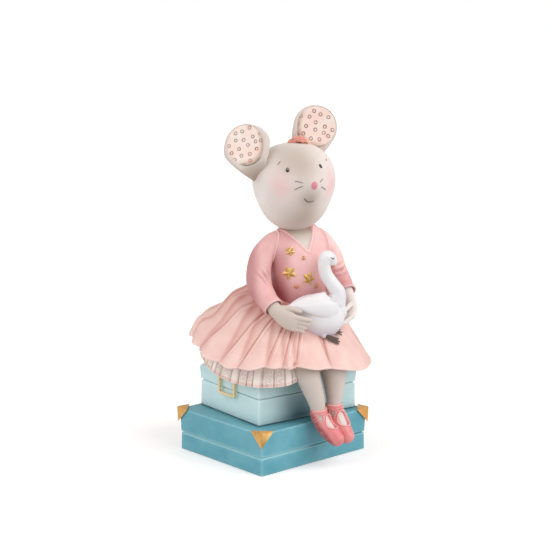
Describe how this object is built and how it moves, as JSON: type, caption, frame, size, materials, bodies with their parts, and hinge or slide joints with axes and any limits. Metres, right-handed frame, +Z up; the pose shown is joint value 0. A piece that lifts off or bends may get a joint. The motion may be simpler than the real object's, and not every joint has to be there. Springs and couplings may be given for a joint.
{
  "type": "money box",
  "caption": "Free-standing figural money box: a dressed mouse holding a swan sits on stacked suitcases that take coins through a slot in the back wall and empty through a stopper underneath.",
  "frame": {"origin": "bottom centre of the whole object's bounding box, on the surface that it stands on", "axes": "+Z up, along the object's greatest extent; -Y towards the front of the suitcases, where the legs hang; +X to the right seen from the front"},
  "size_m": [0.0949, 0.0966, 0.1792],
  "materials": {
    "teal_paint": "matte teal paint on cast resin",
    "aqua_paint": "matte pale aqua paint with a darker wash in the corners",
    "gold_paint": "satin ochre gold paint",
    "stopper_rubber": "matte dark grey moulded rubber",
    "lace_paint": "off-white with a brown wash in the lace relief",
    "peach_paint": "matte peach pink paint, darker in the folds",
    "rose_paint": "matte rose pink paint",
    "fur_paint": "matte warm grey beige paint",
    "lining_paint": "matte cream pink with small painted rings",
    "coral_paint": "matte coral paint",
    "pink_paint": "satin pink paint",
    "black_paint": "gloss near-black paint",
    "white_paint": "matte white paint",
    "brown_paint": "matte dark brown paint",
    "antique_gold": "antique gold paint with dark edges",
    "shoe_paint": "satin coral red paint"
  },
  "bodies": {
    "money_box": {"bodice": "rose_paint", "corner_guard_back_left": "gold_paint", "corner_guard_back_right": "gold_paint", "corner_guard_front_left": "gold_paint", "corner_guard_front_right": "gold_paint", "flower_garland": "coral_paint", "head": "fur_paint", "large_star": "antique_gold", "left_bead": "antique_gold", "left_ear": "fur_paint", "left_ear_lining": "lining_paint", "left_eye": "black_paint", "left_hand": "fur_paint", "left_leg": "fur_paint", "left_shoe": "shoe_paint", "left_sleeve": "rose_paint", "lower_suitcase": "teal_paint", "middle_star": "antique_gold", "neck": "fur_paint", "nose": "pink_paint", "petticoat": "lace_paint", "right_bead": "antique_gold", "right_ear": "fur_paint", "right_ear_lining": "lining_paint", "right_eye": "black_paint", "right_hand": "fur_paint", "right_leg": "fur_paint", "right_shoe": "shoe_paint", "right_sleeve": "rose_paint", "side_clasp": "gold_paint", "skirt": "peach_paint", "small_star": "antique_gold", "swan_beak": "pink_paint", "swan_body": "white_paint", "swan_far_foot": "brown_paint", "swan_near_foot": "brown_paint", "swan_neck": "white_paint", "upper_bead": "antique_gold", "upper_suitcase": "aqua_paint"},
    "stopper": {"bung": "stopper_rubber"}
  },
  "joints": [
    {"name": "bung_pull", "type": "slide", "parent": "money_box", "child": "stopper", "axis": [0, 0, -1], "range_m": [0, 0.03]}
  ]
}
